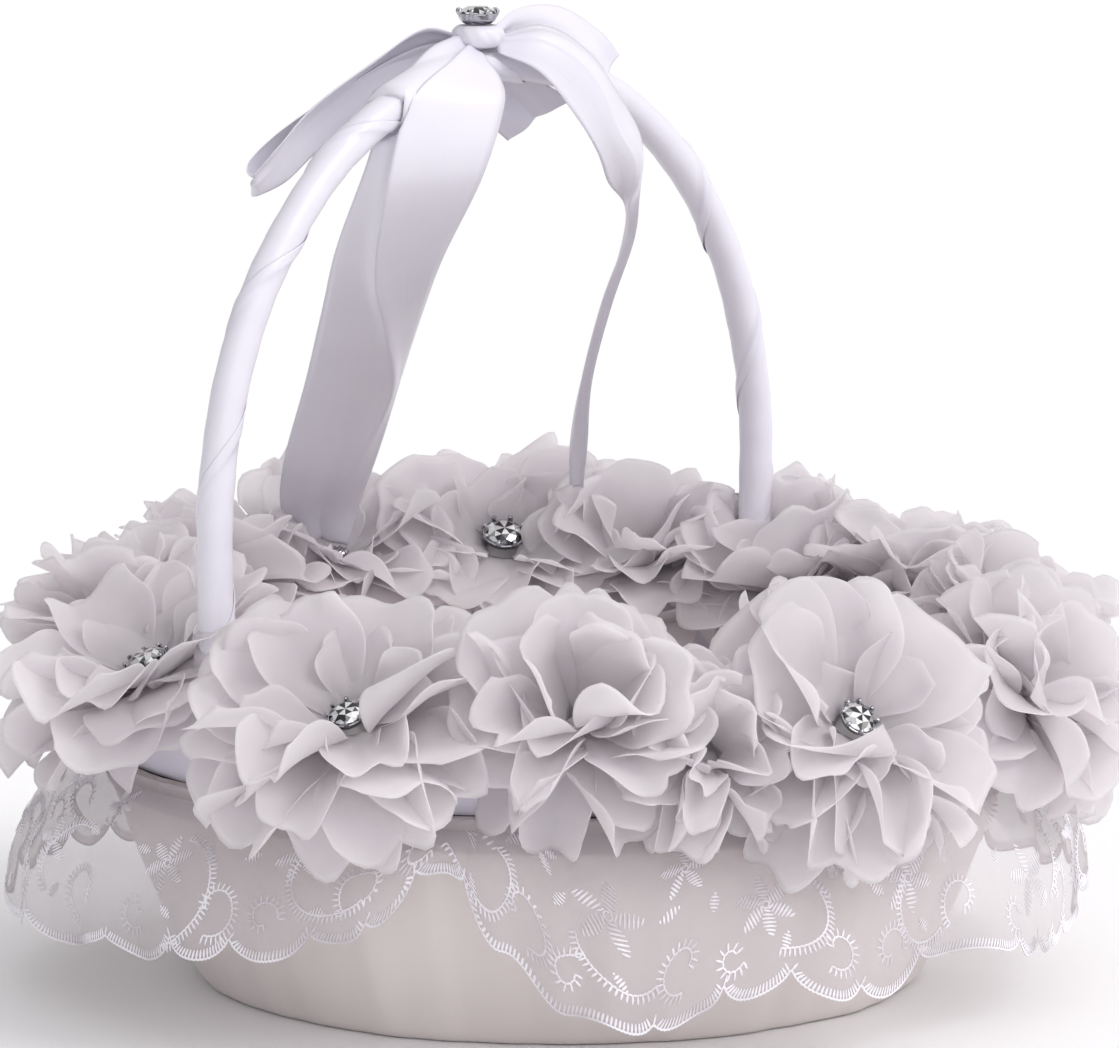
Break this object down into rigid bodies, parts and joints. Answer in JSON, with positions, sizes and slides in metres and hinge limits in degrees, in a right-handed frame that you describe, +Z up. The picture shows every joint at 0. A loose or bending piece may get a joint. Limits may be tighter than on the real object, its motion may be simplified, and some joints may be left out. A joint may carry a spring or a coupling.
{
  "type": "flower girl basket",
  "caption": "Round satin basket with a wrapped hoop handle, a gathered lace ruffle, a rim of petal flowers with stones and a ribbon bow.",
  "frame": {"origin": "centre of the base, on the surface the basket stands on", "axes": "+Z up; the hoop handle stands in a plane parallel to XZ and spans along X; the hoop is set back towards +Y"},
  "size_m": [0.2917, 0.2911, 0.2488],
  "materials": {
    "ivory_satin": "polyester satin, soft folds, low sheen",
    "satin_ribbon": "double faced satin ribbon, silky sheen",
    "lace_organza": "sheer organza with lustrous thread embroidery",
    "petal_chiffon": "translucent chiffon petals with heat sealed edges",
    "white_felt": "needled felt",
    "grey_board": "grey bookbinding board",
    "steel_wire": "drawn wire",
    "hoop_plastic": "extruded plastic tube",
    "plated_claw": "bright plated claw setting",
    "cut_stone": "foil backed cut glass"
  },
  "bodies": {
    "root": {"base_board": "grey_board", "base_cover": "ivory_satin", "bow_claw_setting": "plated_claw", "bow_knot": "satin_ribbon", "bow_loop_left": "satin_ribbon", "bow_loop_right": "satin_ribbon", "bow_short_end": "satin_ribbon", "bow_stone": "cut_stone", "bow_tail_slim": "satin_ribbon", "bow_tail_wide": "satin_ribbon", "claw_setting_03": "plated_claw", "claw_setting_04": "plated_claw", "claw_setting_07": "plated_claw", "claw_setting_08": "plated_claw", "claw_setting_11": "plated_claw", "felt_disc_01": "white_felt", "felt_disc_02": "white_felt", "felt_disc_03": "white_felt", "felt_disc_04": "white_felt", "felt_disc_05": "white_felt", "felt_disc_06": "white_felt", "felt_disc_07": "white_felt", "felt_disc_08": "white_felt", "felt_disc_09": "white_felt", "felt_disc_10": "white_felt", "felt_disc_11": "white_felt", "felt_disc_12": "white_felt", "felt_disc_13": "white_felt", "felt_disc_14": "white_felt", "floor_pad": "ivory_satin", "handle_core": "hoop_plastic", "handle_socket_left": "satin_ribbon", "handle_socket_right": "satin_ribbon", "handle_wrap": "satin_ribbon", "inner_lining": "ivory_satin", "lace_ruffle": "lace_organza", "outer_cover": "ivory_satin", "petals_01": "petal_chiffon", "petals_02": "petal_chiffon", "petals_03": "petal_chiffon", "petals_04": "petal_chiffon", "petals_05": "petal_chiffon", "petals_06": "petal_chiffon", "petals_07": "petal_chiffon", "petals_08": "petal_chiffon", "petals_09": "petal_chiffon", "petals_10": "petal_chiffon", "petals_11": "petal_chiffon", "petals_12": "petal_chiffon", "petals_13": "petal_chiffon", "petals_14": "petal_chiffon", "rim_binding": "satin_ribbon", "rim_wire": "steel_wire", "ruffle_heading": "lace_organza", "side_shell": "grey_board", "stone_03": "cut_stone", "stone_04": "cut_stone", "stone_07": "cut_stone", "stone_08": "cut_stone", "stone_11": "cut_stone"}
  },
  "joints": []
}
